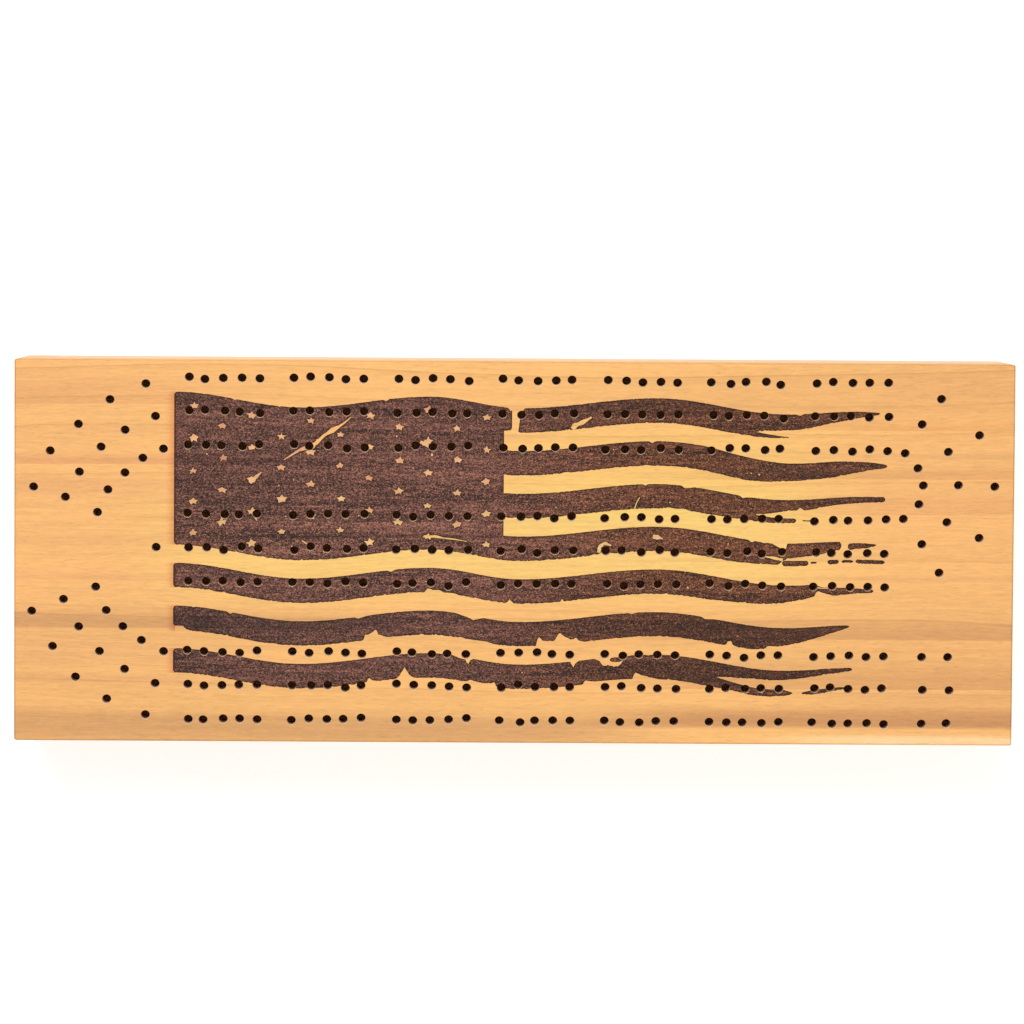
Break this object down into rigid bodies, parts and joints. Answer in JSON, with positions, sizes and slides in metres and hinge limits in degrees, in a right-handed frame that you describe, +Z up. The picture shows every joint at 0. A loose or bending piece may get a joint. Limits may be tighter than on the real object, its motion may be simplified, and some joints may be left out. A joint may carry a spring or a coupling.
{
  "type": "cribbage box",
  "caption": "Wooden box topped by a drilled cribbage board, with a drawer in one end for its pegs and cards.",
  "frame": {"origin": "on the table, under the middle of the box", "axes": "+X along the board towards the drawer end, +Y towards the side of the first street, +Z up"},
  "size_m": [0.3656, 0.1396, 0.0582],
  "materials": {
    "board_wood": "clear satin lacquer on pale honey softwood, the flag engraved brown",
    "case_wood": "clear satin lacquer on pale honey softwood",
    "drawer_wood": "sanded bare poplar",
    "birch_plywood": "sanded bare birch plywood",
    "hardwood": "waxed bare maple",
    "brass": "turned and polished",
    "polished_steel": "turned and polished",
    "blackened_steel": "turned and oil-blackened",
    "zinc_steel": "zinc plated",
    "nickel": "bright nickel plate",
    "rubber": "matte moulded rubber"
  },
  "bodies": {
    "case": {"playing_board": "board_wood", "board_dowels": "hardwood", "case_rail_front": "case_wood", "case_rail_back": "case_wood", "case_end": "case_wood", "bottom_panel": "birch_plywood", "runner_front": "hardwood", "runner_back": "hardwood", "stop_screw_front": "brass", "stop_screw_back": "brass", "case_magnets": "nickel", "foot_front_left": "rubber", "foot_front_right": "rubber", "foot_back_left": "rubber", "foot_back_right": "rubber", "foot_screws": "zinc_steel"},
    "drawer": {"drawer_front": "case_wood", "drawer_side_front": "drawer_wood", "drawer_side_back": "drawer_wood", "drawer_back": "drawer_wood", "drawer_floor": "birch_plywood", "drawer_magnets": "nickel", "drawer_brads": "zinc_steel", "divider_front": "drawer_wood", "divider_middle": "drawer_wood", "peg_tray": "drawer_wood", "peg_brass_1": "brass", "peg_brass_2": "brass", "peg_brass_3": "brass", "peg_steel_1": "polished_steel", "peg_steel_2": "polished_steel", "peg_steel_3": "polished_steel", "peg_black_1": "blackened_steel", "peg_black_2": "blackened_steel", "peg_black_3": "blackened_steel"}
  },
  "joints": [
    {"name": "drawer_slide", "type": "slide", "parent": "case", "child": "drawer", "axis": [1, 0, 0], "range_m": [0, 0.28]}
  ]
}
